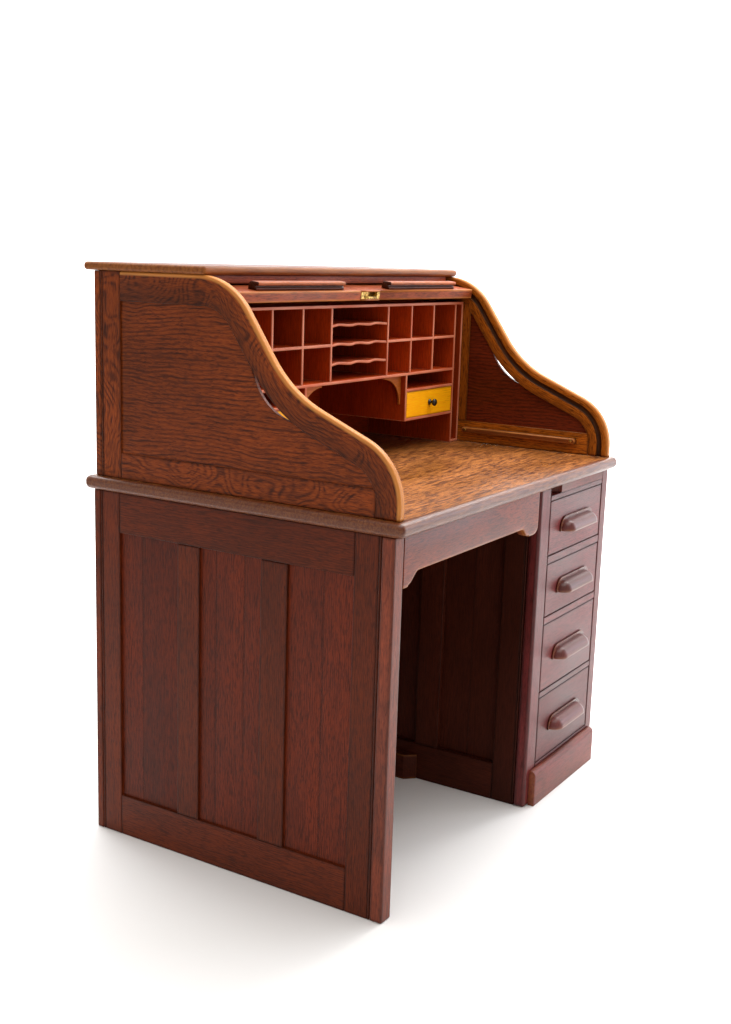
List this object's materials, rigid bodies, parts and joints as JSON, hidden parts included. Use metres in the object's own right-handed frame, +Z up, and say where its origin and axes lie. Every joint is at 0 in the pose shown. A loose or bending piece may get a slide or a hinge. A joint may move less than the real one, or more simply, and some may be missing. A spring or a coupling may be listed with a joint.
{
  "type": "roll top desk",
  "caption": "Single-pedestal roll top desk with S-shaped sides, a slatted curtain, pigeonholes over the writing surface and drawers in the right pedestal.",
  "frame": {"origin": "centre of the desk's bounding box, on the floor", "axes": "+X to the sitter's right seen from the front, front faces -Y, +Z up"},
  "size_m": [1.023, 0.7646, 1.187],
  "materials": {
    "dark_oak": "dark stained oak, worn varnish",
    "dark_oak_panel": "dark stained oak panel, worn varnish",
    "golden_oak": "golden quarter-sawn oak, rubbed varnish",
    "warm_oak": "stained oak, orange-brown inside faces",
    "front_oak": "stained oak fronts, satin varnish",
    "case_wood": "thin stained boards",
    "yellow_ash": "yellow varnished ash",
    "raw_wood": "bare softwood",
    "ebonised": "ebonised knob",
    "worn_brass": "worn brass"
  },
  "bodies": {
    "desk": {"kneehole_apron": "front_oak", "left_batten": "warm_oak", "left_bracket": "yellow_ash", "left_end_frame": "dark_oak", "left_end_panel_front": "dark_oak_panel", "left_end_panel_middle": "dark_oak_panel", "left_end_panel_rear": "dark_oak_panel", "left_front_post": "dark_oak", "left_rear_post": "dark_oak", "left_side_frame": "warm_oak", "left_side_panel": "dark_oak_panel", "lock_strike": "worn_brass", "lower_back_panel": "dark_oak_panel", "pedestal_bottom": "raw_wood", "pedestal_face_frame": "front_oak", "pedestal_inner_cleat": "dark_oak", "pedestal_inner_frame": "dark_oak", "pedestal_inner_panel": "dark_oak_panel", "pedestal_plinth": "front_oak", "pigeonhole_back": "case_wood", "pigeonhole_case": "case_wood", "right_batten": "warm_oak", "right_bracket": "yellow_ash", "right_end_frame": "dark_oak", "right_end_panel": "dark_oak_panel", "right_side_frame": "warm_oak", "right_side_panel": "dark_oak_panel", "top_board": "dark_oak", "top_fascia": "dark_oak", "upper_back_panel": "dark_oak_panel", "writing_top": "golden_oak"},
    "drawer_1": {"drawer_1_front": "front_oak", "drawer_1_box": "raw_wood", "drawer_1_pull": "front_oak"},
    "drawer_2": {"drawer_2_front": "front_oak", "drawer_2_box": "raw_wood", "drawer_2_pull": "front_oak"},
    "drawer_3": {"drawer_3_front": "front_oak", "drawer_3_box": "raw_wood", "drawer_3_pull": "front_oak"},
    "drawer_4": {"drawer_4_front": "front_oak", "drawer_4_box": "raw_wood", "drawer_4_pull": "front_oak"},
    "writing_slide": {"writing_slide": "front_oak"},
    "left_small_drawer": {"left_small_drawer": "yellow_ash", "left_small_knob": "ebonised"},
    "right_small_drawer": {"right_small_drawer": "yellow_ash", "right_small_knob": "ebonised"},
    "curtain_lead": {"curtain_lead_rail": "dark_oak", "left_finger_pull": "dark_oak", "right_finger_pull": "dark_oak", "curtain_lock": "worn_brass"},
    "curtain_section_1": {"curtain_section_1": "dark_oak"},
    "curtain_section_2": {"curtain_section_2": "dark_oak"},
    "curtain_section_3": {"curtain_section_3": "dark_oak"},
    "curtain_section_4": {"curtain_section_4": "dark_oak"},
    "curtain_section_5": {"curtain_section_5": "dark_oak"},
    "curtain_section_6": {"curtain_section_6": "dark_oak"},
    "curtain_section_7": {"curtain_section_7": "dark_oak"},
    "curtain_section_8": {"curtain_section_8": "dark_oak"}
  },
  "joints": [
    {"name": "drawer_1_slide", "type": "slide", "parent": "desk", "child": "drawer_1", "axis": [0, -1, 0], "range_m": [0, 0.4]},
    {"name": "drawer_2_slide", "type": "slide", "parent": "desk", "child": "drawer_2", "axis": [0, -1, 0], "range_m": [0, 0.4]},
    {"name": "drawer_3_slide", "type": "slide", "parent": "desk", "child": "drawer_3", "axis": [0, -1, 0], "range_m": [0, 0.4]},
    {"name": "drawer_4_slide", "type": "slide", "parent": "desk", "child": "drawer_4", "axis": [0, -1, 0], "range_m": [0, 0.4]},
    {"name": "writing_slide_slide", "type": "slide", "parent": "desk", "child": "writing_slide", "axis": [0, -1, 0], "range_m": [0, 0.3]},
    {"name": "left_small_drawer_slide", "type": "slide", "parent": "desk", "child": "left_small_drawer", "axis": [0, -1, 0], "range_m": [0, 0.18]},
    {"name": "right_small_drawer_slide", "type": "slide", "parent": "desk", "child": "right_small_drawer", "axis": [0, -1, 0], "range_m": [0, 0.18]},
    {"name": "curtain", "type": "hinge", "parent": "desk", "child": "curtain_lead", "pos_m": [0, 0.09362, 0.70094], "axis": [1, 0, 0], "range_deg": [0, 71.73], "deforming": ["curtain_section_1", "curtain_section_2", "curtain_section_3", "curtain_section_4", "curtain_section_5", "curtain_section_6", "curtain_section_7", "curtain_section_8"]},
    {"name": "curtain_section_1_turn", "type": "hinge", "parent": "desk", "child": "curtain_section_1", "pos_m": [0, 0.30686, 0.41215], "axis": [1, 0, 0], "range_deg": [0, 40.54]},
    {"name": "curtain_section_2_turn", "type": "hinge", "parent": "desk", "child": "curtain_section_2", "pos_m": [0, 0.60964, -0.08601], "axis": [1, 0, 0], "range_deg": [0, 22.96]},
    {"name": "curtain_section_3_turn", "type": "hinge", "parent": "desk", "child": "curtain_section_3", "pos_m": [0, 0.41665, 0.27755], "axis": [1, 0, 0], "range_deg": [0, 33.71]},
    {"name": "curtain_section_4_turn", "type": "hinge", "parent": "desk", "child": "curtain_section_4", "pos_m": [0, 0.14116, 0.90297], "axis": [1, 0, 0], "range_deg": [0, 121.56]},
    {"name": "curtain_section_5_turn", "type": "hinge", "parent": "desk", "child": "curtain_section_5", "pos_m": [0, 0.13041, 0.94322], "axis": [1, 0, 0], "range_deg": [0, 141.73]},
    {"name": "curtain_section_6_turn", "type": "hinge", "parent": "desk", "child": "curtain_section_6", "pos_m": [0, 0.13023, 0.9491], "axis": [1, 0, 0], "range_deg": [0, 145.5]},
    {"name": "curtain_section_7_turn", "type": "hinge", "parent": "desk", "child": "curtain_section_7", "pos_m": [0, 0.11834, 0.92901], "axis": [1, 0, 0], "range_deg": [0, 133.75]},
    {"name": "curtain_section_8_turn", "type": "hinge", "parent": "desk", "child": "curtain_section_8", "pos_m": [0, 0.05819, 0.8702], "axis": [1, 0, 0], "range_deg": [0, 100.54]}
  ],
  "couplings": [
    {"joint": "curtain_section_1_turn", "follows": "curtain", "ratio": 0.56522},
    {"joint": "curtain_section_2_turn", "follows": "curtain", "ratio": 0.32011},
    {"joint": "curtain_section_3_turn", "follows": "curtain", "ratio": 0.46996},
    {"joint": "curtain_section_4_turn", "follows": "curtain", "ratio": 1.6948},
    {"joint": "curtain_section_5_turn", "follows": "curtain", "ratio": 1.976},
    {"joint": "curtain_section_6_turn", "follows": "curtain", "ratio": 2.0285},
    {"joint": "curtain_section_7_turn", "follows": "curtain", "ratio": 1.8647},
    {"joint": "curtain_section_8_turn", "follows": "curtain", "ratio": 1.4017}
  ]
}
